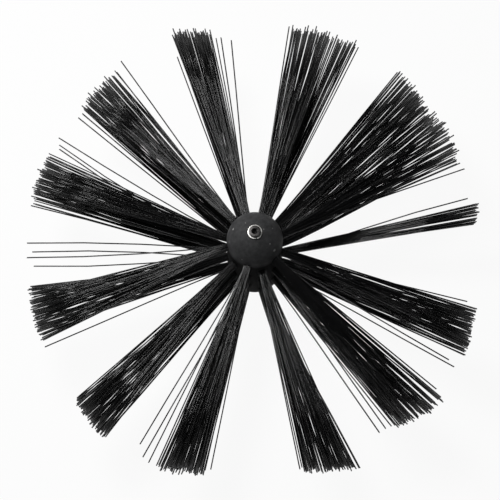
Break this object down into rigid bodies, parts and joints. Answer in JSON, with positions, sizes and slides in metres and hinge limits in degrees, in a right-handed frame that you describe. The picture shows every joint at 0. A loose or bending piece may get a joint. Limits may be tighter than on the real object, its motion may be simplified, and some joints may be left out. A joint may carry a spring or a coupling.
{
  "type": "chimney sweep brush",
  "caption": "Round chimney sweep brush head: tufts of stiff black plastic bristles fan out of a dome-nosed hub with a threaded rod coupling behind.",
  "frame": {"origin": "centre of the flat rear end of the rod coupling, on the brush axis", "axes": "+Z along the brush axis from the coupling towards the domed nose; +X across the brush, midway between two tuft azimuths"},
  "size_m": [0.4106, 0.4098, 0.1403],
  "materials": {
    "hub_plastic": "satin moulded black plastic",
    "bristle_plastic": "drawn black bristle, satin",
    "plated_steel": "zinc-plated steel"
  },
  "bodies": {
    "root": {"hub_body": "hub_plastic", "nose_screw": "plated_steel", "spring_washer": "plated_steel", "rod_coupling": "plated_steel", "tuft_row_1_1": "bristle_plastic", "tuft_row_1_2": "bristle_plastic", "tuft_row_1_3": "bristle_plastic", "tuft_row_1_4": "bristle_plastic", "tuft_row_1_5": "bristle_plastic", "tuft_row_1_6": "bristle_plastic", "tuft_row_2_1": "bristle_plastic", "tuft_row_2_2": "bristle_plastic", "tuft_row_2_3": "bristle_plastic", "tuft_row_2_4": "bristle_plastic", "tuft_row_2_5": "bristle_plastic", "tuft_row_2_6": "bristle_plastic", "tuft_row_3_1": "bristle_plastic", "tuft_row_3_2": "bristle_plastic", "tuft_row_3_3": "bristle_plastic", "tuft_row_3_4": "bristle_plastic", "tuft_row_3_5": "bristle_plastic", "tuft_row_3_6": "bristle_plastic", "tuft_row_4_1": "bristle_plastic", "tuft_row_4_2": "bristle_plastic", "tuft_row_4_3": "bristle_plastic", "tuft_row_4_4": "bristle_plastic", "tuft_row_4_5": "bristle_plastic", "tuft_row_4_6": "bristle_plastic", "tuft_row_5_1": "bristle_plastic", "tuft_row_5_2": "bristle_plastic", "tuft_row_5_3": "bristle_plastic", "tuft_row_5_4": "bristle_plastic", "tuft_row_5_5": "bristle_plastic", "tuft_row_5_6": "bristle_plastic", "tuft_row_6_1": "bristle_plastic", "tuft_row_6_2": "bristle_plastic", "tuft_row_6_3": "bristle_plastic", "tuft_row_6_4": "bristle_plastic", "tuft_row_6_5": "bristle_plastic", "tuft_row_6_6": "bristle_plastic"}
  },
  "joints": []
}
